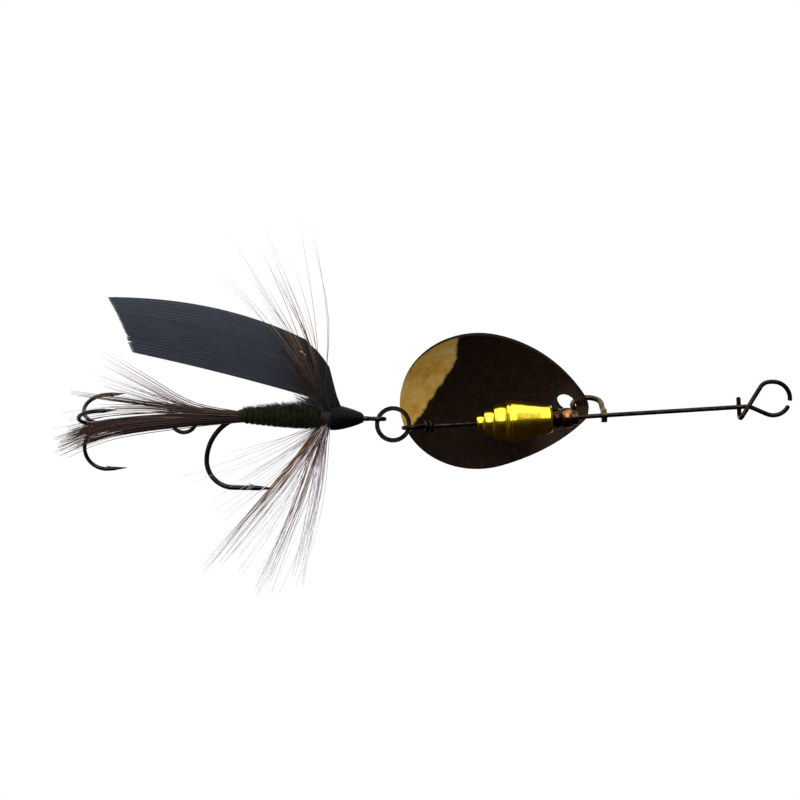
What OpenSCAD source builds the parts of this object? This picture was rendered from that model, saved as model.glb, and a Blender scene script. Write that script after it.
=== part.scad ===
// Inline fly spinner: a wire shaft with a clevis, an egg-shaped blade, beads and a bell
// weight, a split ring, a winged wet fly on a single hook, and a trailing treble hook.
// It hangs from its line tie: +Z runs up the shaft, +X is the side of the hook point.
// The origin is the seat of the line inside the nose of the front eye.

/* [Shaft] */
// Diameter of the shaft wire
wire_d = 0.45; // [0.35:0.05:0.5]
// Radius of the front eye, to the middle of the wire
front_eye_r = 1.68; // [1.5:0.02:1.9]
// Height of the lowest point of the rear eye, to the middle of the wire
rear_eye_z = -38.7; // [-40:0.1:-38]
// Radius of the rear eye, to the middle of the wire
rear_eye_r = 0.8; // [0.7:0.05:0.9]

/* [Clevis] */
// Height of the middle of the clevis
clevis_z = -20.1; // [-21:0.1:-19.5]
// Radius of the clevis bow, to the middle of its wire
bow_r = 1.45; // [1.3:0.05:1.5]
// Distance from the shaft to the centre of the bow
bow_reach = 2.3; // [2:0.1:2.8]
// Diameter of the clevis wire
clevis_d = 0.55; // [0.4:0.05:0.6]
// Direction of the clevis and the blade about the shaft
clevis_turn = 120; // [90:5:150]

/* [Blade] */
// Radius of the broad end of the blade
blade_end_r = 7.85; // [7:0.05:8.2]
// Distance from the narrow end to the centre of the broad end
blade_mid = 11.29; // [10.5:0.01:12]
// Thickness of the blade
blade_t = 0.5; // [0.4:0.05:0.6]
// Radius that the blade is domed to
dome_r = 17; // [15:0.5:22]
// Diameter of the hole in the blade
blade_hole_d = 2; // [1.8:0.1:2.2]
// Angle that the blade stands out from the shaft
blade_open = 9.5; // [8:0.5:14]

/* [Weight] */
// Largest radius of the bell weight
bell_r = 2.15; // [1.8:0.05:2.3]
// Length of the bell weight
bell_len = 4.5; // [4:0.1:4.7]
// Height of the front face of the bell weight
bell_z = -23.85; // [-24:0.05:-23.85]

/* [Split ring] */
// Radius of the split ring, to the middle of its wire
ring_r = 1.6; // [1.5:0.05:1.8]
// Tilt of the split ring on the rear eye
ring_tilt = 22; // [0:1:30]

/* [Main hook] */
// Wire diameter of the main hook
hook_d = 0.5; // [0.45:0.05:0.6]
// Length of the straight shank behind the middle of the eye
shank_len = 12.4; // [12.3:0.1:14]
// Radius of the first half of the bend
bend_r = 4.5; // [4:0.1:4.8]
// Radius of the second half of the bend
throat_r = 2.7; // [2.5:0.1:3.2]
// Lean of the shank towards the wing side
shank_lean = 4.9; // [0:0.1:8]

/* [Fly] */
// Radius of the varnished head
head_r = 1.25; // [0.9:0.05:1.3]
// Radius of the herl body
herl_r = 1.05; // [0.9:0.05:1.2]
// Length of each wing slip
wing_len = 24.4; // [20:0.1:25]
// Angle of the wing above the shank
wing_lift = 16; // [12:1:22]

/* [Treble] */
// Wire diameter of the treble hook
treble_d = 0.4; // [0.3:0.05:0.4]
// Radius of each bend of the treble hook
treble_bend_r = 2.15; // [1.9:0.05:2.4]
// Length of the treble shank behind the middle of the eye
treble_shank = 8; // [7:0.1:9]
// Radius of the treble eye, to the middle of the wire
treble_eye_r = 1.25; // [1:0.05:1.4]

/* [Hidden] */
$fn = 48;
fit = 0.055;
link_gap = 0.03;
swing_gap = 0.09;
weld = 1.01;
bore_r = wire_d / 2 + fit;

// Front eye: neck and the two ends of the opening in its nose
eye_neck_z = -4.38;
eye_neck_r = 1.2;
eye_neck_bend = 27;
eye_neck_run = 1.6;
nose_angles = [55, 79];
eye_return_run = 0.3;
eye_heel_r = 1.1;
eye_heel_turn = 53.3;
wrap_shift = 10;
wrap_r = 0.3;
eye_centre_x = eye_neck_r * (1 - cos(eye_neck_bend)) + eye_neck_run * sin(eye_neck_bend)
    - front_eye_r * cos(eye_neck_bend);
eye_centre_z = eye_neck_z + eye_neck_r * sin(eye_neck_bend)
    + eye_neck_run * cos(eye_neck_bend) + front_eye_r * sin(eye_neck_bend);

// Rear eye: half angle of its neck
neck_half = 42;
neck_r = 0.5;
neck_run = (rear_eye_r * cos(neck_half) - neck_r * (1 - cos(neck_half))) / sin(neck_half);
neck_drop = neck_r * sin(neck_half) + neck_run * cos(neck_half) + rear_eye_r * sin(neck_half);
rear_neck_z = rear_eye_z + rear_eye_r + neck_drop;

// Blade: the side curves touch the broad end and the narrow end
side_r = 16;
side_turn = 16;
side_x = blade_mid + (side_r - blade_end_r) * sin(side_turn);
side_y = (side_r - blade_end_r) * cos(side_turn);
tip_r = 2.3;
tip_x = side_x - sqrt(pow(side_r - tip_r, 2) - side_y * side_y);
side_from = tip_x - tip_r * (side_x - tip_x) / (side_r - tip_r);
side_to = blade_mid - blade_end_r * sin(side_turn);
hole_x = tip_x - tip_r + 2.3;
apex_x = 9.5;
hole_from_bow = bow_r - clevis_d / 2 - swing_gap + blade_hole_d / 2;
hole_drop = dome_r - sqrt(dome_r * dome_r - pow(apex_x - hole_x + blade_hole_d / 2, 2));

// Split ring: it hangs on the rear eye, and the hook eye hangs on it
coil_w = 0.45;
coil_t = 0.32;
ring_inner = ring_r - coil_w / 2;
ring_drop = ring_inner - wire_d / 2 - link_gap;
hook_drop = ring_r + 0.13;
ring_x = -ring_drop * sin(ring_tilt);
ring_z = rear_eye_z - ring_drop * cos(ring_tilt);
hook_x = ring_x - hook_drop * sin(ring_tilt);
hook_z = ring_z - hook_drop * cos(ring_tilt);
hook_eye_r = 0.775;

// Stations along the hook shank, from the middle of the hook eye
head_at = 1.4;
head_end = 4.6;
stem_end = 5.6;
herl_end = 12.6;
lashing_end = 13.9;
hackle_at = 5.2;
base_r = 0.5;
wing_at = 4.4;
wing_up = 1.8;
wing_gap = 0.45;
wing_t = 0.35;

// Stinger wire and treble
stinger_d = 0.3;
stinger_half = 0.5;
treble_x = -2.15;
treble_z = -60.6;
stinger_z = treble_z + treble_eye_r - treble_d / 2 - stinger_d / 2 - link_gap;
stinger_top = -54.1;
tine_turn = 48;
braze_r = 0.235;

// Wire that follows moves from the origin up +Z, with a child on its end. A "run" is
// straight, a "bend" turns towards +X at a radius, and a "roll" turns about the wire.
// A ball, a hair thicker than the wire, welds each stretch to the next.
module wire(moves, d, i = 0) {
    if (i > 0) sphere(d = d * weld);
    if (i == len(moves)) {
        children();
    } else if (moves[i][0] == "run") {
        cylinder(h = moves[i][1], d = d);
        translate([0, 0, moves[i][1]]) wire(moves, d, i + 1) children();
    } else if (moves[i][0] == "bend") {
        r = moves[i][1];
        a = moves[i][2];
        translate([r, 0, 0]) rotate([90, 0, 0]) rotate([0, 0, 180 - a])
            rotate_extrude(angle = a) translate([r, 0]) circle(d = d, $fn = 64);
        translate([r * (1 - cos(a)), 0, r * sin(a)]) rotate([0, a, 0])
            wire(moves, d, i + 1) children();
    } else {
        rotate([0, 0, moves[i][1]]) wire(moves, d, i + 1) children();
    }
}

// Tube about Z from rows of [height, radius], with a bore
module turned(rows, bore) {
    rotate_extrude() polygon(concat(
        [[bore, rows[0][0]]],
        [for (row = rows) [row[1], row[0]]],
        [[bore, rows[len(rows) - 1][0]]]));
}

// Round bead about Z, from its top face down, with flat ends and a bore
module bead(top, r, h) {
    translate([0, 0, top - h / 2]) difference() {
        intersection() {
            sphere(r = r);
            cube([3 * r, 3 * r, h], center = true);
        }
        cylinder(h = h + 1, r = bore_r, center = true);
    }
}

// Ring of wire about Z
module hoop(r, d) {
    rotate_extrude() translate([r, 0]) circle(d = d);
}

// Straight fibre that tapers from one point to another
module fibre(from, to, r1, r2) {
    v = to - from;
    translate(from) rotate([0, acos(v[2] / norm(v)), atan2(v[1], v[0])])
        cylinder(h = norm(v), r1 = r1, r2 = r2, $fn = 16);
}

// Needle point on the end of a hook, with its barb on the +X side
module hook_point(d, h, barb) {
    cylinder(h = h, d1 = d, d2 = d / 6);
    translate([d / 8, 0, 0]) rotate([0, 160, 0]) cylinder(h = barb, d1 = d / 2, d2 = d / 8);
}

// Places a child in the plane of the clevis, with +X pointing away from the shaft
module on_clevis() {
    rotate([0, 0, clevis_turn]) children();
}

// Places a child on the hook: +Z runs back along the shank, +X points to the wing side
module on_hook() {
    translate([hook_x, 0, hook_z]) rotate([0, 180 + shank_lean, 0]) children();
}

// Places a child on the treble: +Z runs back along its shank, +X points to the wing side
module on_treble() {
    translate([treble_x, 0, treble_z]) rotate([0, 180, 0]) children();
}

module shaft_wire() {
    color("dimgray") {
        straight_wire();
        front_eye_lower();
        front_eye_upper();
        rear_eye();
    }
}

// Straight stretch between the two eyes
module straight_wire() {
    translate([0, 0, rear_neck_z]) cylinder(h = eye_neck_z - rear_neck_z, d = wire_d);
    for (z = [rear_neck_z, eye_neck_z]) translate([0, 0, z]) sphere(d = wire_d * weld);
}

// Arm of the front eye that rises from the shaft to the opening in its nose
module front_eye_lower() {
    translate([0, 0, eye_neck_z])
        wire([["bend", eye_neck_r, eye_neck_bend], ["run", eye_neck_run], ["roll", 180],
              ["bend", front_eye_r, eye_neck_bend + nose_angles[0]]], wire_d);
}

// Arm from the opening round to the heel, across the shaft and half a turn round it
module front_eye_upper() {
    translate([eye_centre_x, 0, eye_centre_z]) rotate([0, -nose_angles[1], 0])
        translate([front_eye_r, 0, 0]) rotate([0, 0, 180])
            wire([["bend", front_eye_r, 180 - nose_angles[1]], ["run", eye_return_run],
                  ["bend", eye_heel_r, eye_heel_turn],
                  ["roll", 90], ["bend", wrap_r, wrap_shift], ["run", 3.35],
                  ["roll", 180], ["bend", wrap_r, 90 + wrap_shift], ["run", 0.5],
                  ["roll", eye_heel_turn - 90], ["bend", wrap_r, 90], ["run", 1.6]], wire_d);
}

// Closed eye at the foot of the shaft, with two turns round its neck
module rear_eye() {
    translate([0, 0, rear_neck_z]) rotate([180, 0, 0]) rotate([0, 0, 90])
        wire([["bend", neck_r, neck_half], ["run", neck_run], ["roll", 180],
              ["bend", rear_eye_r, 180 + 2 * neck_half],
              ["run", rear_eye_r / tan(neck_half) + 0.05]], wire_d);
    for (turn = [0, 1]) translate([0, 0, rear_neck_z + 0.1 + turn * (wire_d + 0.02)])
        hoop(wire_d - 0.05, wire_d);
}

module clevis() {
    color("darkgoldenrod") on_clevis() translate([0, 0, clevis_z]) {
        for (side = [-1, 1]) translate([0, 0, side * bow_r]) difference() {
            union() {
                cylinder(h = clevis_d, r = 0.7, center = true);
                rotate([0, 90, 0]) cylinder(h = bow_reach, d = clevis_d);
            }
            cylinder(h = clevis_d + 1, r = bore_r, center = true);
        }
        translate([bow_reach, 0, 0]) rotate([90, 0, 0]) rotate([0, 0, -90])
            rotate_extrude(angle = 180) translate([bow_r, 0]) circle(d = clevis_d);
    }
}

// Flat outline of the blade: its broad end, its narrow end and two side curves
module blade_outline() {
    translate([blade_mid, 0]) circle(r = blade_end_r, $fn = 120);
    translate([tip_x, 0]) circle(r = tip_r);
    intersection() {
        translate([side_x, side_y]) circle(r = side_r, $fn = 240);
        translate([side_x, -side_y]) circle(r = side_r, $fn = 240);
        translate([side_from, -side_r]) square([side_to - side_from, 2 * side_r]);
    }
}

// The blade hangs with its hole on the bow, hollow side towards the shaft
module blade() {
    color("saddlebrown") on_clevis() translate([bow_reach, 0, clevis_z])
        rotate([0, 90 - blade_open, 0]) translate([hole_from_bow - hole_x, 0, 0])
            difference() {
                intersection() {
                    translate([0, 0, -6]) linear_extrude(height = 12) blade_outline();
                    translate([apex_x, 0, hole_drop - dome_r]) rotate([90, 0, 0]) difference() {
                        sphere(r = dome_r + blade_t / 2, $fn = 160);
                        sphere(r = dome_r - blade_t / 2, $fn = 160);
                    }
                }
                translate([hole_x, 0, -6]) cylinder(h = 12, d = blade_hole_d);
            }
}

module copper_bead() {
    color("peru") bead(-21.86, 1.02, 0.95);
}

module dark_bead() {
    color("darkslategray") bead(-22.85, 0.95, 0.95);
}

module bell_weight() {
    color("gold") translate([0, 0, bell_z]) turned([
        [0, bell_r * 0.58], [-0.2, bell_r * 0.67], [-1.2, bell_r * 0.74],
        [-2.6, bell_r * 0.88], [-3.6, bell_r * 0.98], [-bell_len + 0.45, bell_r],
        [-bell_len + 0.4, bell_r * 0.93], [-bell_len + 0.25, bell_r * 0.93],
        [-bell_len + 0.2, bell_r], [-bell_len, bell_r * 0.97]], bore_r);
}

module tail_bead_large() {
    color("gold") bead(bell_z - bell_len - 0.05, 1.85, 1.2);
}

module tail_bead_medium() {
    color("gold") bead(bell_z - bell_len - 1.3, 1.35, 0.95);
}

module tail_bead_small() {
    color("gold") bead(bell_z - bell_len - 2.3, 0.85, 0.7);
}

// Two flat coils side by side, joined by a short step
module split_ring() {
    color("slategray") translate([ring_x, 0, ring_z]) rotate([90, 0, 0]) {
        for (side = [-1, 1]) translate([0, 0, side * (coil_t / 2 + 0.015)]) difference() {
            cylinder(h = coil_t, r = ring_r + coil_w / 2, center = true);
            cylinder(h = coil_t + 1, r = ring_inner, center = true);
        }
        rotate([0, 0, 60]) translate([ring_r, 0, 0]) cube([coil_w * 0.7, 1, 0.2], center = true);
    }
}

module main_hook() {
    color("darkslategray") on_hook() {
        rotate([0, 90, 0]) hoop(hook_eye_r, hook_d * 0.9);
        translate([0, 0, hook_eye_r])
            wire([["run", shank_len - hook_eye_r], ["roll", 180], ["bend", bend_r, 90],
                  ["bend", throat_r, 90], ["run", 2.5]], hook_d)
                hook_point(hook_d, 1.6, 1);
    }
}

// Layer of tying thread wound on the bare shank
module thread_base() {
    color("darkolivegreen") on_hook()
        turned([[1.3, 0.4], [1.7, base_r], [herl_end - 0.3, base_r], [herl_end, 0.4]],
               hook_d / 2 + 0.01);
}

// Wound herl: soft ridges, one for each turn, thinner towards the tail
module herl_body() {
    turns = 11;
    pitch = (herl_end - stem_end) / turns;
    color("darkolivegreen") on_hook() turned(
        [for (i = [0:turns - 1], t = [0.1, 0.5, 0.9])
            [stem_end + (i + t) * pitch,
             herl_r * (1 - 0.3 * pow((i + t) / turns, 3)) - (t == 0.5 ? 0 : 0.12)]],
        base_r + 0.01);
}

// Thread and varnish that bind the tail and the stinger wire
module tail_lashing() {
    color("black") on_hook() turned([[herl_end, 0.8], [herl_end + 0.3, 0.95],
        [lashing_end - 0.4, 0.92], [lashing_end, 0.75]], 0.69);
}

// Wound stem of the hackle, in three turns
module hackle_stem() {
    pitch = (stem_end - head_end) / 3;
    color("saddlebrown") on_hook() turned(
        [for (i = [0:2], t = [0.1, 0.5, 0.9])
            [head_end + (i + t) * pitch, t == 0.5 ? 0.9 : 0.75]], base_r + 0.01);
}

// Fan of fibres on the hook from the hackle to tips given as [back, up, across]
module fan(tips) {
    for (i = [0:len(tips) - 1]) {
        tip = tips[i];
        root = [sign(tip[1]) * 0.6, sign(tip[2]) * 1.05, hackle_at - 0.5 + 0.35 * floor(i / 2)];
        fibre(root, [tip[1], tip[2], tip[0]], 0.12, 0.05);
    }
}

module hackle_upper() {
    color("rosybrown") on_hook() fan([[4.5, 15.1, 2.6], [4.9, 16.6, -5], [8.2, 17.8, 3],
        [7.4, 19.2, -2.4], [11.9, 16, 3.6], [14.5, 13.5, -4]]);
}

module hackle_lower() {
    color("sienna") on_hook() fan([[4.8, -15.2, 2.4], [7, -17.2, -3], [9, -16.8, 4.6],
        [10.7, -17.3, -2.4], [12.8, -15.6, 3], [14.9, -14, -4.4]]);
}

// Outline of one wing slip along +X: its end slants, its upper edge is arched and its lower
// edge sags a little
module wing_outline() {
    crown_x = wing_len * 0.43;
    crown_y = wing_len * 0.22;
    edge_r = wing_len * 1.64;
    back = wing_len - 4.2;
    polygon(concat([[0, -0.4], [0, 0.8], [1.2, 2.9], [2.6, 4]],
        [for (i = [0:8]) let (x = 4.2 + back * i / 8)
            [x, crown_y - pow(x - crown_x, 2) / (2 * edge_r)]],
        [[wing_len - 3.9, -1.3], [wing_len * 0.45, -0.65]]));
}

module wing(side) {
    on_hook() translate([wing_up, side * wing_gap, wing_at]) rotate([0, wing_lift, 0])
        rotate([-90, -90, 0]) translate([0, 0, (side - 1) * wing_t / 2])
            linear_extrude(height = wing_t) wing_outline();
}

module wing_near() {
    color("slategray") wing(-1);
}

module wing_far() {
    color("slategray") wing(1);
}

module head_thread() {
    steps = 8;
    mid = (head_at + head_end) / 2;
    half = (head_end - head_at) / 2;
    color("midnightblue") on_hook() turned(
        [for (i = [0:steps]) let (t = -1 + 2 * i / steps)
            [mid + half * t, base_r + 0.05 + (head_r - base_r - 0.05)
                * sqrt(1 - pow(t * 0.9 - 0.25, 2) / 1.4)]], base_r + 0.01);
}

// Roots and tips of the tail fibres, as [x, y, z]
tail_fibre_ends = [
    [[-3.1, 0.9, -55.2], [-9.8, 1.2, -68.2]], [[-3.0, -1.0, -55.2], [-9, -1.5, -69.5]],
    [[-3.2, 0.4, -55.4], [-5.7, 0.6, -72.3]], [[-2.1, 1.1, -55.2], [-1.5, 1.6, -75]],
    [[-1.8, -1.1, -55.2], [0.4, -1.2, -74.1]], [[-3.2, -0.5, -55.4], [-6.5, -1.8, -71.5]]];

module tail_fibres() {
    color("saddlebrown") for (ends = tail_fibre_ends) fibre(ends[0], ends[1], 0.16, 0.06);
}

// Doubled wire from the lashing to the eye of the treble
module stinger_wire() {
    leg = stinger_top - stinger_z - stinger_half;
    color("dimgray") translate([treble_x, stinger_half, stinger_top]) rotate([180, 0, 0])
        rotate([0, 0, 90])
            wire([["run", leg], ["bend", stinger_half, 180], ["run", leg]], stinger_d);
}

// One tine of the treble: its shank, bend and point
module tine(turn, start) {
    rotate([0, 0, turn]) translate([braze_r, 0, start])
        wire([["run", treble_shank - start], ["bend", treble_bend_r, 180], ["run", 0.6]],
             treble_d)
            hook_point(treble_d, 1.3, 0.8);
}

// One wire bent into the eye and two of the tines
module treble_double() {
    color("dimgray") on_treble() {
        rotate([90, 0, 0]) hoop(treble_eye_r, treble_d);
        for (k = [0, 1]) tine(tine_turn + 120 * k, treble_eye_r);
    }
}

// The third tine, brazed between the other two
module treble_single() {
    color("dimgray") on_treble() tine(tine_turn + 240, treble_eye_r + treble_d);
}

shaft_wire();
clevis();
blade();
copper_bead();
dark_bead();
bell_weight();
tail_bead_large();
tail_bead_medium();
tail_bead_small();
split_ring();
main_hook();
thread_base();
herl_body();
tail_lashing();
hackle_stem();
hackle_upper();
hackle_lower();
wing_near();
wing_far();
head_thread();
tail_fibres();
stinger_wire();
treble_double();
treble_single();
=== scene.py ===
"""Looks of the inline fly spinner: wire shaft, spinner blade, beads and a wet fly with a trailing treble.

Everything is in metres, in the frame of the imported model: +Z runs up the shaft to the line tie,
+X is the side of the hook's point, and the hollow of the blade faces -Y.
"""

import math
import random

import bpy
from mathutils import Matrix, Vector


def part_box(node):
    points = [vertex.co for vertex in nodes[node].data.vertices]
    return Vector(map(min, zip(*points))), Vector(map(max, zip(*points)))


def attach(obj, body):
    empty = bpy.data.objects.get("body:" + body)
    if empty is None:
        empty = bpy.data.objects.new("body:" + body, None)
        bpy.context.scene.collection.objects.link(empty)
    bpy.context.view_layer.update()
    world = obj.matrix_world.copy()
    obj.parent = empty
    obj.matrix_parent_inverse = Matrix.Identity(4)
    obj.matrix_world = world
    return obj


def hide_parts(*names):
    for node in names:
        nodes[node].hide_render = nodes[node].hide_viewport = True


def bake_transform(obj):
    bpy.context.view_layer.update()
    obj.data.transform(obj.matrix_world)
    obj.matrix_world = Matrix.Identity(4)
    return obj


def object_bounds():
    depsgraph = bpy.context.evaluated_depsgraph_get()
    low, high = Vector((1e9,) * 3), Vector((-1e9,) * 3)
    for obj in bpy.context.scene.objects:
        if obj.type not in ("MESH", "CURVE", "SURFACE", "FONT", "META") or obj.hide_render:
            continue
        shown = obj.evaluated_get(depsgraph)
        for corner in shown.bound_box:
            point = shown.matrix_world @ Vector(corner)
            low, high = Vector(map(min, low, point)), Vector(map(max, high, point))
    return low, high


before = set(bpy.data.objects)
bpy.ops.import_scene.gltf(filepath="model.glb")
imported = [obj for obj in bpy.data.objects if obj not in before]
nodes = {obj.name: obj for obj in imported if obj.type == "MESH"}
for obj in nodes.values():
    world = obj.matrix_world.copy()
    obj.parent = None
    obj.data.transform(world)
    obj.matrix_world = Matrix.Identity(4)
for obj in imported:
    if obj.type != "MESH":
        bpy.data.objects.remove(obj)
cad_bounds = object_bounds()
rng = random.Random(7)
MM = 0.001


# ---------------------------------------------------------------- shader helpers


def new_material(name, rough, metal=0.0):
    """A material with one Principled shader; returns it with its node tree and shader."""
    mat = bpy.data.materials.new(name)
    mat.use_nodes = True
    tree = mat.node_tree
    tree.nodes.clear()
    out = tree.nodes.new("ShaderNodeOutputMaterial")
    shader = tree.nodes.new("ShaderNodeBsdfPrincipled")
    tree.links.new(shader.outputs[0], out.inputs[0])
    shader.inputs["Roughness"].default_value = rough
    shader.inputs["Metallic"].default_value = metal
    return mat, tree, shader


def coords(tree, stretch=(1, 1, 1)):
    """Object coordinates, in metres, stretched along the axes."""
    source = tree.nodes.new("ShaderNodeTexCoord")
    mapping = tree.nodes.new("ShaderNodeMapping")
    mapping.inputs["Scale"].default_value = stretch
    tree.links.new(source.outputs["Object"], mapping.inputs["Vector"])
    return mapping.outputs[0]


def noise(tree, size, detail=3.0, stretch=(1, 1, 1), rough=0.55):
    """Noise whose patches are about size metres across."""
    tex = tree.nodes.new("ShaderNodeTexNoise")
    tex.inputs["Scale"].default_value = 1.0 / size
    tex.inputs["Detail"].default_value = detail
    tex.inputs["Roughness"].default_value = rough
    tree.links.new(coords(tree, stretch), tex.inputs["Vector"])
    return tex.outputs["Fac"]


def rings(tree, pitch):
    """Fine rings across Z, such as the marks of a lathe, pitch metres apart."""
    tex = tree.nodes.new("ShaderNodeTexWave")
    tex.bands_direction = "Z"
    tex.inputs["Scale"].default_value = math.pi / (10 * pitch)
    tex.inputs["Distortion"].default_value = 0.5
    tex.inputs["Detail Scale"].default_value = 2.0
    tree.links.new(coords(tree), tex.inputs["Vector"])
    return tex.outputs["Fac"]


def ramp(tree, fac, *stops):
    """Colour ramp through (position, (r, g, b)) stops."""
    node = tree.nodes.new("ShaderNodeValToRGB")
    elements = node.color_ramp.elements
    while len(elements) < len(stops):
        elements.new(0.5)
    for element, (at, colour) in zip(elements, stops):
        element.position = at
        element.color = (*colour, 1)
    tree.links.new(fac, node.inputs["Fac"])
    return node.outputs["Color"]


def mix(tree, fac, a, b):
    """Mixes two colours, given as outputs or as (r, g, b)."""
    node = tree.nodes.new("ShaderNodeMix")
    node.data_type = "RGBA"
    for socket, value in ((node.inputs[0], fac), (node.inputs[6], a), (node.inputs[7], b)):
        if isinstance(value, bpy.types.NodeSocket):
            tree.links.new(value, socket)
        elif isinstance(value, tuple):
            socket.default_value = (*value, 1)
        else:
            socket.default_value = value
    return node.outputs[2]


def maths(tree, operation, a, b=0.0, c=0.0, clamp=False):
    """One Math node on outputs or numbers; c is what MULTIPLY_ADD adds."""
    node = tree.nodes.new("ShaderNodeMath")
    node.operation = operation
    node.use_clamp = clamp
    for socket, value in zip(node.inputs, (a, b, c)):
        if isinstance(value, bpy.types.NodeSocket):
            tree.links.new(value, socket)
        else:
            socket.default_value = value
    return node.outputs[0]


def bump(tree, shader, height, strength, depth):
    """Bumps the shader's surface by depth metres where height goes from 0 to 1."""
    node = tree.nodes.new("ShaderNodeBump")
    node.inputs["Strength"].default_value = strength
    node.inputs["Distance"].default_value = depth
    tree.links.new(height, node.inputs["Height"])
    tree.links.new(node.outputs[0], shader.inputs["Normal"])


def attribute(tree, name):
    """A value stored on the mesh's points."""
    node = tree.nodes.new("ShaderNodeAttribute")
    node.attribute_name = name
    return node.outputs["Fac"]


# ---------------------------------------------------------------- materials


# Fine marks on wire and other metal: how far apart and how deep
MARK_SIZE = 0.06 * MM
MARK_DEPTH = 0.004 * MM

# Lathe rings on turned brass: their pitch, their depth, and how much they darken it
LATHE_PITCH = 0.09 * MM
LATHE_DEPTH = 0.006 * MM
LATHE_SHADE = 0.18


def metal(name, dark, light, rough, patch=0.6 * MM, grain=(1, 1, 1)):
    """Metal whose tone drifts between two colours. Fine marks vary its roughness between two values."""
    mat, tree, shader = new_material(name, rough[0], 1.0)
    tone = ramp(tree, noise(tree, patch, 4.0), (0.3, dark), (0.72, light))
    tree.links.new(tone, shader.inputs["Base Color"])
    marks = noise(tree, MARK_SIZE, 2.0, grain)
    spread = maths(tree, "MULTIPLY_ADD", marks, rough[1] - rough[0], rough[0])
    tree.links.new(spread, shader.inputs["Roughness"])
    bump(tree, shader, marks, 0.6, MARK_DEPTH)
    return mat


def brass_material(name, dark, light):
    """Polished turned brass: fine lathe rings and a little tarnish."""
    mat, tree, shader = new_material(name, 0.2, 1.0)
    tone = ramp(tree, noise(tree, 0.9 * MM, 5.0), (0.34, dark), (0.6, light))
    lathe = rings(tree, LATHE_PITCH)
    shade = maths(tree, "MULTIPLY", lathe, LATHE_SHADE)
    tree.links.new(mix(tree, shade, tone, dark), shader.inputs["Base Color"])
    bump(tree, shader, lathe, 0.35, LATHE_DEPTH)
    return mat


# The way that the hollow of the blade faces
BLADE_FACE = (0.5, -0.866, 0)

# The gold section of the blade lies beyond these lines: each is the direction across the line,
# in X and Z, and how far out it runs.
GOLD_LINES = ((-0.124, -0.992, 33.4 * MM), (-0.607, -0.794, 29.9 * MM))

# The edge of the gold: how far it wanders, how far the lines move out to make up for that,
# and how wide the change is
GOLD_WANDER = 0.5 * MM
GOLD_SHIFT = 0.25 * MM
GOLD_SOFTNESS = 0.3 * MM

# The rim is where the surface faces across the blade: the cosine of its angle to BLADE_FACE is below
# RIM_FACING. RIM_SHARPNESS is how fast the painted shade turns it black there.
RIM_FACING = 0.66
RIM_SHARPNESS = 12.0
RIM_PAINTED_SHADE = (0.012, 0.009, 0.008)

# Pale specks in the painted dark reflection, painted glints that also stand as bare worn metal: contrast of
# their noise, how much of it is cut off, and their colour
SPECK_GAIN = 8.0
SPECK_CUT = 5.6
GLINT_AND_WEAR_COLOUR = (0.62, 0.5, 0.3)


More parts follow.
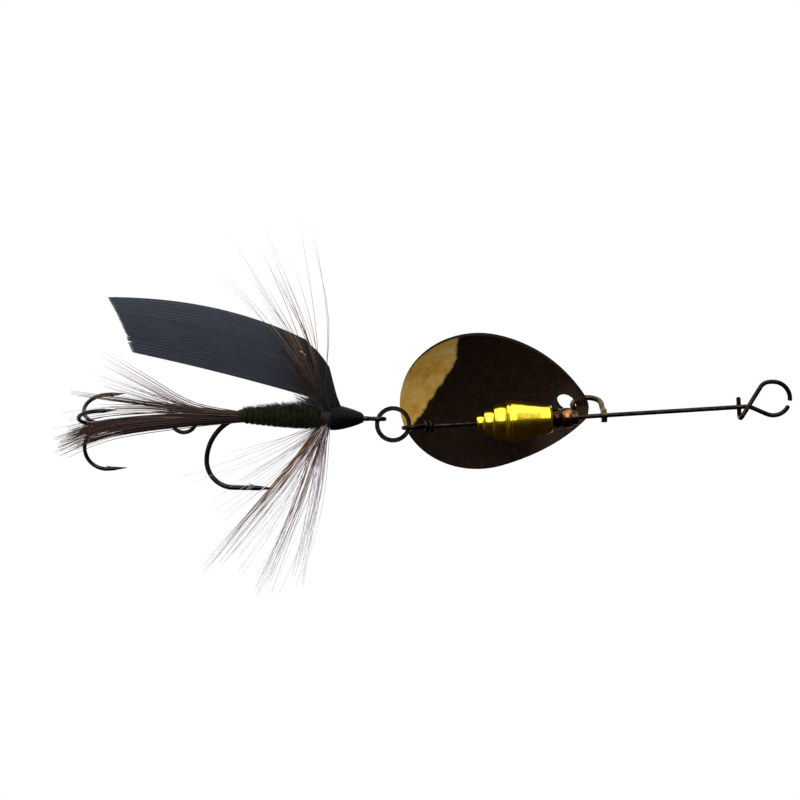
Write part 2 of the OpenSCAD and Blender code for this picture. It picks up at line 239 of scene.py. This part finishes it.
def blade_material():
    """Gold metal, bare in a section at the far end and elsewhere under a mottled painted dark reflection,
    with pale specks of painted glint and wear and a black rim of painted shade.
    """
    mat, tree, shader = new_material("blade_gold_painted_reflection", 0.16)
    shader.inputs["Specular IOR Level"].default_value = 0.0
    # The mottled dark colour is painted reflection: dark surroundings mirrored in the gold, painted on both
    # faces.
    painted_reflection_mottle = ramp(
        tree,
        noise(tree, 1.3 * MM, 6.0, rough=0.7),
        (0.3, (0.012, 0.006, 0.004)),
        (0.45, (0.07, 0.038, 0.022)),
        (0.55, (0.024, 0.019, 0.01)),
        (0.7, (0.13, 0.065, 0.042)),
    )
    # Faint red, green and violet tints that are part of the painted dark reflection.
    sheen = ramp(
        tree,
        noise(tree, 0.5 * MM, 3.0),
        (0.35, (0.09, 0.014, 0.022)),
        (0.5, (0.018, 0.032, 0.012)),
        (0.65, (0.04, 0.018, 0.065)),
    )
    painted_dark_reflection = mix(tree, 0.4, painted_reflection_mottle, sheen)
    # Pale specks: painted glints, which also stand as bare worn metal.
    specks = maths(tree, "MULTIPLY", noise(tree, 0.1 * MM, 2.0, (1, 1, 0.4)), SPECK_GAIN)
    glints_and_wear = maths(tree, "SUBTRACT", specks, SPECK_CUT, clamp=True)
    dark = mix(tree, glints_and_wear, painted_dark_reflection, GLINT_AND_WEAR_COLOUR)
    gold = ramp(
        tree,
        noise(tree, 1.6 * MM, 5.0, rough=0.65),
        (0.3, (0.74, 0.36, 0.05)),
        (0.5, (1.0, 0.61, 0.12)),
        (0.7, (1.0, 0.84, 0.34)),
    )
    # The gold lies beyond two straight lines, with an edge that wanders a little.
    place = tree.nodes.new("ShaderNodeSeparateXYZ")
    tree.links.new(coords(tree), place.inputs[0])
    wander = maths(tree, "MULTIPLY", noise(tree, 0.9 * MM, 2.0), GOLD_WANDER)
    beyond = []
    for normal_x, normal_z, start in GOLD_LINES:
        along = maths(tree, "MULTIPLY", place.outputs["X"], normal_x)
        down = maths(tree, "MULTIPLY", place.outputs["Z"], normal_z)
        reach = maths(tree, "ADD", maths(tree, "ADD", along, down), wander)
        beyond.append(maths(tree, "SUBTRACT", reach, start + GOLD_SHIFT))
    edge = maths(tree, "MULTIPLY", maths(tree, "MINIMUM", *beyond), 1 / GOLD_SOFTNESS, clamp=True)
    # The cut rim, which faces across the blade, is painted black as shade.
    facing = tree.nodes.new("ShaderNodeVectorMath")
    facing.operation = "DOT_PRODUCT"
    facing.inputs[1].default_value = BLADE_FACE
    normal = tree.nodes.new("ShaderNodeTexCoord")
    tree.links.new(normal.outputs["Normal"], facing.inputs[0])
    aside = maths(tree, "SUBTRACT", RIM_FACING, maths(tree, "ABSOLUTE", facing.outputs["Value"]))
    rim_shade = maths(tree, "MULTIPLY", aside, RIM_SHARPNESS, clamp=True)
    face = mix(tree, edge, dark, gold)
    tree.links.new(mix(tree, rim_shade, face, RIM_PAINTED_SHADE), shader.inputs["Base Color"])
    shine = maths(tree, "SUBTRACT", 0.6, maths(tree, "MULTIPLY", edge, 0.5))
    bare = maths(tree, "SUBTRACT", 1.0, rim_shade)
    tree.links.new(maths(tree, "MULTIPLY", shine, bare), shader.inputs["Metallic"])
    dull = maths(tree, "ADD", maths(tree, "MULTIPLY", edge, 0.2), maths(tree, "MULTIPLY", rim_shade, 0.5))
    tree.links.new(maths(tree, "ADD", dull, 0.22), shader.inputs["Roughness"])
    bump(tree, shader, noise(tree, 0.8 * MM, 2.0), 0.35, 0.03 * MM)
    return mat


# How far apart the mottling of a fibre's tint reaches, half of it to each side
MOTTLE = 0.2


def fibre_material(name, stops, sheen, rough=0.5, gloss=0.4):
    """Feather fibre: colour from the strand's tint, mottled, with a silky sheen."""
    mat, tree, shader = new_material(name, rough)
    mottle = maths(tree, "MULTIPLY", noise(tree, 0.5 * MM), MOTTLE)
    tint = maths(tree, "ADD", attribute(tree, "tint"), mottle)
    tree.links.new(ramp(tree, maths(tree, "SUBTRACT", tint, MOTTLE / 2), *stops), shader.inputs["Base Color"])
    shader.inputs["Sheen Weight"].default_value = sheen
    shader.inputs["Sheen Roughness"].default_value = 0.4
    shader.inputs["Specular IOR Level"].default_value = gloss
    bump(tree, shader, noise(tree, 0.05 * MM, 2.0), 0.5, 0.01 * MM)
    return mat


def thread_material(name, dark, light, coat):
    """Waxed tying thread, with clear varnish over it if coat is above 0."""
    mat, tree, shader = new_material(name, 0.4)
    shader.inputs["Specular IOR Level"].default_value = 0.06
    tone = ramp(tree, noise(tree, 0.25 * MM, 3.0, (1, 1, 3)), (0.35, dark), (0.7, light))
    tree.links.new(tone, shader.inputs["Base Color"])
    shader.inputs["Coat Weight"].default_value = coat
    shader.inputs["Coat Roughness"].default_value = 0.05
    bump(tree, shader, noise(tree, 0.05 * MM, 2.0), 0.4, 0.008 * MM)
    return mat


wire_metal = metal(
    "shaft_wire_steel",
    (0.005, 0.0045, 0.0035),
    (0.028, 0.022, 0.017),
    (0.24, 0.4),
    grain=(1, 1, 0.1),
)
ring_metal = metal("split_ring_steel", (0.01, 0.009, 0.008), (0.045, 0.038, 0.032), (0.22, 0.36))
hook_metal = metal("hook_bronze", (0.008, 0.007, 0.006), (0.04, 0.03, 0.022), (0.18, 0.32))
treble_metal = metal("treble_nickel", (0.01, 0.009, 0.008), (0.045, 0.039, 0.034), (0.2, 0.34))
clevis_metal = metal("clevis_brass", (0.006, 0.005, 0.004), (0.11, 0.07, 0.024), (0.2, 0.36), patch=0.9 * MM)
bright_brass = brass_material("bell_brass", (0.85, 0.55, 0.03), (1.0, 0.86, 0.07))
copper = brass_material("bead_copper", (0.13, 0.045, 0.016), (0.34, 0.155, 0.055))
amber = metal("bead_dark", (0.012, 0.006, 0.005), (0.06, 0.024, 0.018), (0.12, 0.2), patch=0.5 * MM)
blade_gold_and_painted_reflection = blade_material()
base_thread = thread_material("thread_waxed", (0.006, 0.006, 0.004), (0.02, 0.019, 0.012), 0.0)
head_varnish = thread_material("thread_varnished", (0.001, 0.0013, 0.002), (0.0045, 0.0055, 0.009), 0.02)
herl_fibre = fibre_material(
    "herl_fibre",
    [
        (0.1, (0.004, 0.004, 0.002)),
        (0.5, (0.009, 0.011, 0.003)),
        (0.85, (0.02, 0.034, 0.006)),
        (1.0, (0.06, 0.034, 0.014)),
    ],
    sheen=0.02,
    gloss=0.1,
)
quill = fibre_material(
    "wing_quill",
    [
        (0.1, (0.007, 0.004, 0.0035)),
        (0.4, (0.023, 0.027, 0.037)),
        (0.7, (0.042, 0.05, 0.067)),
        (1.0, (0.1, 0.11, 0.14)),
    ],
    sheen=0.1,
    gloss=0.15,
)
hackle_fibre = fibre_material(
    "hackle_fibre",
    [
        (0.0, (0.006, 0.003, 0.0025)),
        (0.3, (0.26, 0.1, 0.034)),
        (0.55, (0.3, 0.19, 0.155)),
        (0.95, (0.85, 0.82, 0.92)),
    ],
    rough=0.45,
    sheen=0.12,
)
tail_fibre = fibre_material(
    "tail_fibre",
    [
        (0.05, (0.018, 0.007, 0.005)),
        (0.35, (0.085, 0.032, 0.021)),
        (0.65, (0.3, 0.2, 0.19)),
        (0.95, (0.8, 0.74, 0.84)),
    ],
    sheen=0.12,
)

CAD_LOOKS = {
    "shaft_wire": wire_metal,
    "clevis": clevis_metal,
    "blade": blade_gold_and_painted_reflection,
    "copper_bead": copper,
    "dark_bead": amber,
    "bell_weight": bright_brass,
    "tail_bead_large": bright_brass,
    "tail_bead_medium": bright_brass,
    "tail_bead_small": bright_brass,
    "split_ring": ring_metal,
    "main_hook": hook_metal,
    "thread_base": base_thread,
    "stinger_wire": wire_metal,
    "treble_double": treble_metal,
    "treble_single": treble_metal,
}
for name, mat in CAD_LOOKS.items():
    for slot in nodes[name].material_slots:
        slot.material = mat
    nodes[name].data.shade_smooth()
    nodes[name].data.set_sharp_from_angle(angle=math.radians(35))


# ---------------------------------------------------------------- mesh helpers


# A direction that no strand runs along, to turn a round strand's sides from
ANY_SIDE = Vector((0.31, 0.9, 0.2))


class Strands:
    """Collects tapered strands into one mesh, each point with a tint from 0, dark, to 1, pale."""

    def __init__(self):
        self.points = []
        self.faces = []
        self.tints = []

    def add(self, path, radii, tints, sides=3, flat=1.0, across=ANY_SIDE):
        """A strand through the path's points. flat thins it across the given direction."""
        start = len(self.points)
        last = len(path) - 1
        for i, point in enumerate(path):
            along = (path[min(i + 1, last)] - path[max(i - 1, 0)]).normalized()
            side = along.cross(across).normalized()
            lift = along.cross(side)
            for k in range(sides):
                turn = 2 * math.pi * k / sides
                offset = side * math.cos(turn) + lift * math.sin(turn) * flat
                self.points.append(point + offset * radii[i])
                self.tints.append(tints[i])
        for i in range(last):
            row = start + i * sides
            for k in range(sides):
                after = (k + 1) % sides
                self.faces.append((row + k, row + after, row + sides + after, row + sides + k))
        self.faces.append(tuple(range(start + sides - 1, start - 1, -1)))
        end = start + last * sides
        self.faces.append(tuple(range(end, end + sides)))

    def build(self, name, mat, replaced, bend=None):
        """Makes the mesh object, which rides on the fly; given bend, it is baked in place and rides on
        nothing.
        """
        mesh = bpy.data.meshes.new(name)
        mesh.from_pydata(self.points, [], self.faces)
        tint = mesh.attributes.new("tint", "FLOAT", "POINT")
        tint.data.foreach_set("value", self.tints)
        mesh.shade_smooth()
        mesh.materials.append(mat)
        obj = bpy.data.objects.new(name, mesh)
        bpy.context.scene.collection.objects.link(obj)
        if bend:
            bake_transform(obj)
        else:
            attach(obj, "fly")
        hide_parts(replaced)


def curve_points(controls, count, reach=1.0):
    """Points along a smooth Catmull-Rom curve through the controls. reach is the part of it to keep."""
    padded = [controls[0] * 2 - controls[1], *controls, controls[-1] * 2 - controls[-2]]
    spans = len(controls) - 1
    points = []
    for i in range(count):
        at = min(i / (count - 1) * spans * reach, spans - 1e-6)
        k = int(at)
        t = at - k
        a, b, c, d = padded[k : k + 4]
        points.append(
            0.5 * (b * 2 + (c - a) * t + (a * 2 - b * 5 + c * 4 - d) * t * t + (b * 3 - a - c * 3 + d) * t**3)
        )
    return points


def taper(count, root, tip, shape):
    """Radii from root to tip; a shape above 1 keeps the strand thick for longer."""
    return [root + (tip - root) * (i / (count - 1)) ** shape for i in range(count)]


# ---------------------------------------------------------------- the fly's own frame

# The shank's line runs through the middles of the head and of the lashing.
head_lo, head_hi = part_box("head_thread")
lash_lo, lash_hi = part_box("tail_lashing")
head_mid = (head_lo + head_hi) / 2
lash_mid = (lash_lo + lash_hi) / 2
BACK = (lash_mid - head_mid).normalized()
ACROSS = Vector((0, 1, 0))
UP = ACROSS.cross(BACK).normalized()
if UP.x > 0:
    UP = -UP

# Stations along the shank, from the middle of the head
HEAD_HALF = 1.6 * MM
STEM_AT = 1.6 * MM
STEM_END = 2.6 * MM
HERL_END = 10.2 * MM
LASH_END = (lash_mid - head_mid).length + 0.65 * MM


def at_fly(back, up, across=0.0):
    """A point from the middle of the head, in metres back along the shank, up and across."""
    return head_mid + BACK * back + UP * up + ACROSS * across


# ---------------------------------------------------------------- head, lashing and stem


# Tying thread: the pitch of its turns and the height of their ridges
THREAD_PITCH = 0.14 * MM
THREAD_RIDGE = 0.03 * MM


def wound(name, radius_at, start, end, pitch, ridge, mat, node, tint=0.5):
    """Close turns of thread over a form: a surface of revolution with one ridge for each turn."""
    shape = Strands()
    around = 40
    rows = int((end - start) / pitch * 6)
    for i in range(rows + 1):
        s = start + (end - start) * i / rows
        for k in range(around):
            turn = 2 * math.pi * k / around
            phase = 2 * math.pi * (s / pitch) + turn
            r = radius_at(s) + ridge * (0.5 + 0.5 * math.cos(phase)) + rng.uniform(-1, 1) * ridge * 0.06
            shape.points.append(at_fly(s, r * math.cos(turn), r * math.sin(turn)))
            shape.tints.append(tint)
    for i in range(rows):
        for k in range(around):
            a = i * around + k
            b = i * around + (k + 1) % around
            shape.faces.append((a, b, b + around, a + around))
    shape.faces.append(tuple(range(around - 1, -1, -1)))
    shape.faces.append(tuple(range(rows * around, rows * around + around)))
    shape.build(name, mat, node)


def head_radius(s):
    """Profile of the head: a cone that swells towards the wing."""
    t = (s + HEAD_HALF) / (2 * HEAD_HALF)
    return (0.45 + 1.05 * t**0.8 * (1 - 0.25 * t**4)) * MM


wound(
    "head",
    head_radius,
    -HEAD_HALF,
    HEAD_HALF,
    THREAD_PITCH,
    THREAD_RIDGE,
    head_varnish,
    "head_thread",
)


def lashing_radius(s):
    """Profile of the lashing: a short barrel."""
    t = (s - HERL_END) / (LASH_END - HERL_END)
    return (0.5 + 0.14 * math.sin(math.pi * t)) * MM


wound(
    "lashing",
    lashing_radius,
    HERL_END,
    LASH_END,
    THREAD_PITCH,
    THREAD_RIDGE,
    base_thread,
    "tail_lashing",
)


# ---------------------------------------------------------------- herl body


def herl_radius(s):
    """Radius of the wound herl, thinner towards the tail."""
    t = (s - STEM_END) / (HERL_END - STEM_END)
    return (0.98 - 0.42 * t**2) * MM


HERL_TURNS = 14
HERL_BARBULES = 4200
ROPE_RADIUS = 0.34 * MM


def make_herl():
    """A rope of herl wound round the shank, with short barbules standing out all along it."""
    strands = Strands()
    steps = HERL_TURNS * 22
    rope = []
    for i in range(steps + 1):
        s = STEM_END + (HERL_END - STEM_END) * i / steps
        turn = 2 * math.pi * HERL_TURNS * i / steps
        r = herl_radius(s) - 0.12 * MM
        rope.append(at_fly(s, r * math.cos(turn), r * math.sin(turn)))
    strands.add(rope, [ROPE_RADIUS] * len(rope), [0.25] * len(rope), sides=8)
    for i in range(HERL_BARBULES):
        s = rng.uniform(STEM_END - 0.1 * MM, HERL_END + 0.1 * MM)
        turn = rng.uniform(0, 2 * math.pi)
        inner = herl_radius(s) - 0.1 * MM
        thin = 1 - 0.45 * ((s - STEM_END) / (HERL_END - STEM_END)) ** 2
        length = rng.uniform(0.3, 0.66) * (1 + 0.35 * math.cos(turn)) * thin * MM
        sweep = rng.uniform(0.1, 0.9) * length
        bend = turn + rng.uniform(-0.5, 0.5)
        root = at_fly(s, inner * math.cos(turn), inner * math.sin(turn))
        reach = inner + length * 0.62
        middle = at_fly(s + sweep * 0.3, reach * math.cos(turn), reach * math.sin(turn))
        reach = inner + length
        tip = at_fly(s + sweep, reach * math.cos(bend), reach * math.sin(bend))
        tint = rng.uniform(0.2, 0.95)
        strands.add([root, middle, tip], [0.03 * MM, 0.026 * MM, 0.006 * MM], [tint * 0.6, tint, tint])
    strands.build("herl", herl_fibre, "herl_body")


make_herl()


# ---------------------------------------------------------------- wing slips

WING_LEN = 24.4 * MM
WING_LIFT = math.radians(16)

# Root of the wing, back along the shank and up; how far its end slants; what is under the head
WING_ROOT = (1.4 * MM, 1.8 * MM)
WING_TIP_CUT = 3.9 * MM
WING_BUTT = 1.0 * MM

# Each slip's distance from the middle, how far it bulges, how far its end stands out, and its waves
WING_GAP = 0.4 * MM
WING_CAMBER = 0.32 * MM
WING_FLARE = 0.5 * MM
WING_RIPPLE = 0.012 * MM

# Upper edge beyond the shoulder, a parabola: where its crown is, how high, and how gently it curves,
# all as parts of the wing's length
WING_CROWN_AT = 0.43
WING_CROWN_HEIGHT = 0.22
WING_CROWN_CURVE = 1.64

# Upper edge near the root, as (distance from the root, height) in millimetres
WING_SHOULDER = [(-1.0, -0.5), (0.0, 0.8), (1.2, 2.9), (2.6, 4.0), (4.2, 4.75)]


def wing_top(x):
    """Height of the upper edge of the wing above its axis, x metres from the root."""
    x_mm = x / MM
    for (x0, y0), (x1, y1) in zip(WING_SHOULDER, WING_SHOULDER[1:]):
        if x_mm <= x1:
            return (y0 + (y1 - y0) * (x_mm - x0) / (x1 - x0)) * MM
    crown = WING_LEN / MM * WING_CROWN_AT
    fall = (x_mm - crown) ** 2 / (2 * WING_LEN / MM * WING_CROWN_CURVE)
    return (WING_LEN / MM * WING_CROWN_HEIGHT - fall) * MM


def wing_low(x):
    """Height of the lower edge of the wing, which dips towards its end and into the head."""
    dip = max(0.0, 2 * MM - x) / (3 * MM)
    return (-0.4 - 0.9 * dip**2) * MM - 1.3 * MM * (max(x, 0.0) / WING_LEN) ** 2


def make_wing(name, side, node):
    """A slip of quill: barbs side by side from a narrow root to a slanting end."""
    strands = Strands()
    barbs = 64
    rows = 34
    split = 0.0
    splits = rng.sample(range(9, barbs - 8), 2)
    for b in range(barbs):
        v = b / (barbs - 1)
        if b in splits:
            split += rng.uniform(0.05, 0.11) * MM
        length = WING_LEN - WING_TIP_CUT * (1 - v) + rng.uniform(-0.05, 0.05) * MM
        tone = rng.uniform(-0.07, 0.07)
        path, radii, tints = [], [], []
        for i in range(rows):
            t = i / (rows - 1)
            x = -WING_BUTT + (length + WING_BUTT) * t
            low = wing_low(x)
            high = wing_top(min(x, WING_LEN))
            y = low + (high - low) * v + split * t**6
            camber = WING_CAMBER * 4 * v * (1 - v) * min(1.0, t * 3)
            flare = WING_FLARE * t**2
            ripple = WING_RIPPLE * math.sin(9 * t + b * 2.1)
            out = side * (WING_GAP + camber + flare + ripple)
            back = WING_ROOT[0] + x * math.cos(WING_LIFT) - y * math.sin(WING_LIFT)
            up = WING_ROOT[1] + x * math.sin(WING_LIFT) + y * math.cos(WING_LIFT)
            path.append(at_fly(back, up, out))
            width = (high - low) / (barbs - 1)
            radii.append(max(width * 0.62, 0.02 * MM) * (1.0 if t < 0.97 else 0.6))
            edge = 0.12 * (abs(v - 0.5) * 2) ** 4
            tints.append(0.46 + tone + 0.14 * t + edge - 0.6 * max(0.0, 1 - t * 2.6))
        strands.add(path, radii, tints, sides=4, flat=0.35, across=ACROSS)
    strands.build(name, quill, node)


make_wing("quill_slip_near", -1, "wing_near")
make_wing("quill_slip_far", 1, "wing_far")


# ---------------------------------------------------------------- hackle


# How late a hackle fibre pales towards its tip, and the points along it
FADE_SHAPE = 1.6
HACKLE_STEPS = 9


def spray(strands, count, angles, lengths, width, tints, spread, above, droop=0.12, fade=0.3):
    """Fibres from the hackle stem, on the wing side if above is true. Lengths are in millimetres.

    angles lean them back from straight up or down and spread fans them sideways, in degrees.
    """
    sign = 1 if above else -1
    for _ in range(count):
        lean = math.radians(rng.uniform(*angles))
        yaw = math.radians(rng.uniform(-spread, spread))
        length = rng.uniform(*lengths) * MM
        root_s = rng.uniform(STEM_AT, STEM_END)
        if above:
            root_y = math.copysign(1, yaw) * rng.uniform(0.6, 0.9) * MM
        else:
            root_y = rng.uniform(-0.6, 0.6) * MM
        root = at_fly(root_s, sign * 0.55 * MM, root_y)
        out = UP * sign * math.cos(yaw) + ACROSS * math.sin(yaw)
        aim = out * math.cos(lean) + BACK * math.sin(lean)
        sag = BACK * length * droop * rng.uniform(0.3, 1.2)
        controls = [root, root + aim * length * 0.5 - sag * 0.25, root + aim * length + sag * 0.5]
        base = rng.uniform(*tints)
        radii = taper(HACKLE_STEPS, width * rng.uniform(0.8, 1.2) * MM, width * 0.28 * MM, 1.4)
        ends = HACKLE_STEPS - 1
        shade = [min(1.0, base + fade * (k / ends) ** FADE_SHAPE) for k in range(HACKLE_STEPS)]
        strands.add(curve_points(controls, HACKLE_STEPS), radii, shade)


def make_hackle():
    """Wound hackle: fibres above that pale from a dark root, and pale fibres and brown clumps below."""
    upper = Strands()
    spray(upper, 18, (0, 36), (12, 20.5), 0.034, (-0.2, 0.0), 22, True, fade=1.15)
    spray(upper, 10, (14, 28), (12, 17), 0.046, (-0.25, -0.05), 12, True, fade=1.0)
    spray(upper, 80, (14, 34), (3.5, 7.5), 0.05, (-0.3, -0.05), 14, True)
    spray(upper, 150, (40, 82), (1.3, 3.4), 0.05, (-0.35, -0.1), 14, True)
    upper.build("hackle_above", hackle_fibre, "hackle_upper")
    lower = Strands()
    spray(lower, 30, (2, 34), (12, 18), 0.036, (0.55, 0.9), 24, False)
    spray(lower, 24, (40, 72), (8, 15), 0.034, (0.6, 0.9), 22, False)
    spray(lower, 22, (34, 39), (13, 19), 0.05, (0.12, 0.34), 3, False, 0.05, 0.6)
    spray(lower, 14, (17, 21), (13, 18.5), 0.045, (0.2, 0.45), 3, False, 0.05, 0.5)
    spray(lower, 10, (6, 9), (12, 17), 0.045, (0.5, 0.75), 4, False, 0.05)
    spray(lower, 60, (5, 45), (2.5, 5), 0.045, (-0.1, 0.15), 30, False)
    lower.build("hackle_below", hackle_fibre, "hackle_lower")


make_hackle()
wound(
    "hackle_root",
    lambda s: 1.0 * MM,
    STEM_AT,
    STEM_END,
    0.22 * MM,
    0.1 * MM,
    hackle_fibre,
    "hackle_stem",
    0.0,
)


# ---------------------------------------------------------------- tail

# Clumps of tail fibre: how many, the middle of the clump as (x, z) in millimetres, how widely it
# spreads at the root and at the tip, the depth in y that it runs at, fibre radius, and tints from
# root to tip.
TAIL_CLUMPS = [
    (84, [(-2.1, -54.4), (-2.2, -60.0), (-1.8, -68.0), (-0.2, -73.6)], 0.5, 1.6, -0.9, 0.065, (-0.05, 0.3)),
    (60, [(-2.1, -54.4), (-2.3, -60.0), (-2.1, -68.0), (-1.2, -72.6)], 0.5, 1.5, 0.9, 0.065, (-0.05, 0.28)),
    (24, [(-2.2, -54.4), (-3.4, -59.6), (-6.2, -64.2), (-8.9, -68.4)], 0.4, 1.5, -0.5, 0.042, (0.3, 0.95)),
    (16, [(-2.2, -54.4), (-3.1, -59.6), (-4.8, -64.4), (-6.9, -69.6)], 0.4, 1.4, 0.6, 0.042, (0.3, 0.95)),
    (18, [(-2.2, -54.4), (-3.2, -60.0), (-4.4, -66.0), (-5.6, -72.0)], 0.4, 0.7, -0.7, 0.05, (-0.05, 0.45)),
    (16, [(-2.2, -54.4), (-2.9, -60.0), (-3.6, -64.0), (-3.9, -69.2)], 0.4, 0.7, 0.9, 0.05, (-0.05, 0.4)),
    (10, [(-2.1, -54.4), (-2.7, -60.0), (-3.2, -67.0), (-2.5, -74.8)], 0.4, 0.9, -1.2, 0.045, (0.2, 0.75)),
]

# How late the clumps open: 1 spreads them evenly from root to tip
TAIL_FLARE = 1.1
TAIL_STEPS = 13

# Two places along the tail, in millimetres, handed to the build as bend, which only bakes the tail in place
TAIL_BEND_FROM = (-2.15, 0, -56)
TAIL_BEND_TO = (-2.15, 0, -63.5)


def make_tail():
    """Tail fibres in clumps that leave the lashing together and fan out."""
    strands = Strands()
    for count, middle, narrow, wide, depth, width, tints in TAIL_CLUMPS:
        for _ in range(count):
            off = max(-1.0, min(1.0, rng.gauss(0, 0.45)))
            deep = rng.gauss(0, 0.3)
            cut = rng.uniform(0.8, 1.0)
            controls = []
            for k, (x, z) in enumerate(middle):
                t = k / (len(middle) - 1)
                open_up = narrow + (wide - narrow) * t**TAIL_FLARE
                y = depth * min(1.0, 0.45 + t) + deep * (0.3 + 0.7 * t)
                controls.append(Vector((x + off * open_up, y, z)) * MM)
            path = curve_points(controls, TAIL_STEPS, cut)
            radii = taper(TAIL_STEPS, width * rng.uniform(0.8, 1.2) * MM, width * 0.25 * MM, 1.5)
            tone = rng.uniform(-0.07, 0.07)
            ends = TAIL_STEPS - 1
            shade = [tints[0] + tone + (tints[1] - tints[0]) * (k / ends) for k in range(TAIL_STEPS)]
            strands.add(path, radii, shade)
    bend = (Vector(TAIL_BEND_FROM) * MM, Vector(TAIL_BEND_TO) * MM)
    strands.build("tail", tail_fibre, "tail_fibres", bend)


make_tail()


# ---------------------------------------------------------------- studio

# Middle of the picture, its width at the object, and the tilt of the shaft in it
AIM = Vector((-2.8, 0, -38.9)) * MM
VIEW_WIDTH = 80 * MM
VIEW_TILT = math.radians(3.55)
LENS = 100.0
SENSOR = 36.0


def make_camera():
    """Looks along +Y with the shaft lying across the picture, line tie to the right."""
    data = bpy.data.cameras.new("camera")
    data.lens = LENS
    data.sensor_width = SENSOR
    data.clip_start = 0.01
    camera = bpy.data.objects.new("camera", data)
    bpy.context.scene.collection.objects.link(camera)
    right = Vector((math.sin(VIEW_TILT), 0, math.cos(VIEW_TILT)))
    up = Vector((-math.cos(VIEW_TILT), 0, math.sin(VIEW_TILT)))
    back = right.cross(up)
    distance = VIEW_WIDTH * LENS / SENSOR
    place = AIM + back * distance
    camera.matrix_world = Matrix((
        (right.x, up.x, back.x, place.x),
        (right.y, up.y, back.y, place.y),
        (right.z, up.z, back.z, place.z),
        (0, 0, 0, 1),
    ))
    bpy.context.scene.camera = camera


def area_light(name, offset, size, watts):
    """A soft square light that faces the object, with its offset and size in millimetres."""
    data = bpy.data.lights.new(name, "AREA")
    data.size = size * MM
    data.energy = watts
    light = bpy.data.objects.new(name, data)
    bpy.context.scene.collection.objects.link(light)
    light.location = AIM + Vector(offset) * MM
    light.rotation_euler = (-Vector(offset)).to_track_quat("-Z", "Y").to_euler()


# Light from round about, from the -X side to the +X side
AMBIENT = (
    (0.25, (0.3, 0.31, 0.33)),
    (0.5, (0.055, 0.04, 0.033)),
    (0.72, (0.014, 0.009, 0.007)),
)

# The floor's distance below the lure, and its radius
FLOOR_DROP = 20 * MM
FLOOR_RADIUS = 75 * MM


def make_world():
    """White behind the object, with dim light on it that fades to warm shade on the +X side."""
    world = bpy.data.worlds.new("studio")
    world.use_nodes = True
    tree = world.node_tree
    tree.nodes.clear()
    out = tree.nodes.new("ShaderNodeOutputWorld")
    seen = tree.nodes.new("ShaderNodeBackground")
    seen.inputs["Color"].default_value = (1, 1, 1, 1)
    lit = tree.nodes.new("ShaderNodeBackground")
    around = tree.nodes.new("ShaderNodeTexCoord")
    axes = tree.nodes.new("ShaderNodeSeparateXYZ")
    tree.links.new(around.outputs["Generated"], axes.inputs[0])
    across = maths(tree, "MULTIPLY_ADD", axes.outputs["X"], 0.5, 0.5)
    tree.links.new(ramp(tree, across, *AMBIENT), lit.inputs["Color"])
    path = tree.nodes.new("ShaderNodeLightPath")
    blend = tree.nodes.new("ShaderNodeMixShader")
    tree.links.new(path.outputs["Is Camera Ray"], blend.inputs[0])
    tree.links.new(lit.outputs[0], blend.inputs[1])
    tree.links.new(seen.outputs[0], blend.inputs[2])
    tree.links.new(blend.outputs[0], out.inputs[0])
    bpy.context.scene.world = world


def make_floor():
    """A pale round floor below the hanging lure."""
    mesh = bpy.data.meshes.new("floor")
    height = cad_bounds[0][2] - FLOOR_DROP
    ring = [
        (AIM.x + FLOOR_RADIUS * math.cos(math.radians(a)), FLOOR_RADIUS * math.sin(math.radians(a)), height)
        for a in range(0, 360, 5)
    ]
    mesh.from_pydata(ring, [], [tuple(range(len(ring)))])
    mat, tree, shader = new_material("floor_pale", 0.8)
    tone = ramp(tree, noise(tree, 20 * MM), (0.3, (0.86, 0.86, 0.86)), (0.7, (0.9, 0.9, 0.9)))
    tree.links.new(tone, shader.inputs["Base Color"])
    shader.inputs["Emission Color"].default_value = (1, 1, 1, 1)
    shader.inputs["Emission Strength"].default_value = 0.3
    mesh.materials.append(mat)
    floor = bpy.data.objects.new("floor", mesh)
    bpy.context.scene.collection.objects.link(floor)


make_camera()
area_light("overhead", (-165, 10, 0), 320, 0.52)
area_light("front_top", (-110, -200, 10), 170, 0.34)
area_light("rear_fill", (-20, 190, 40), 160, 0.1)
make_world()
make_floor()
bpy.context.scene.view_settings.view_transform = "Standard"
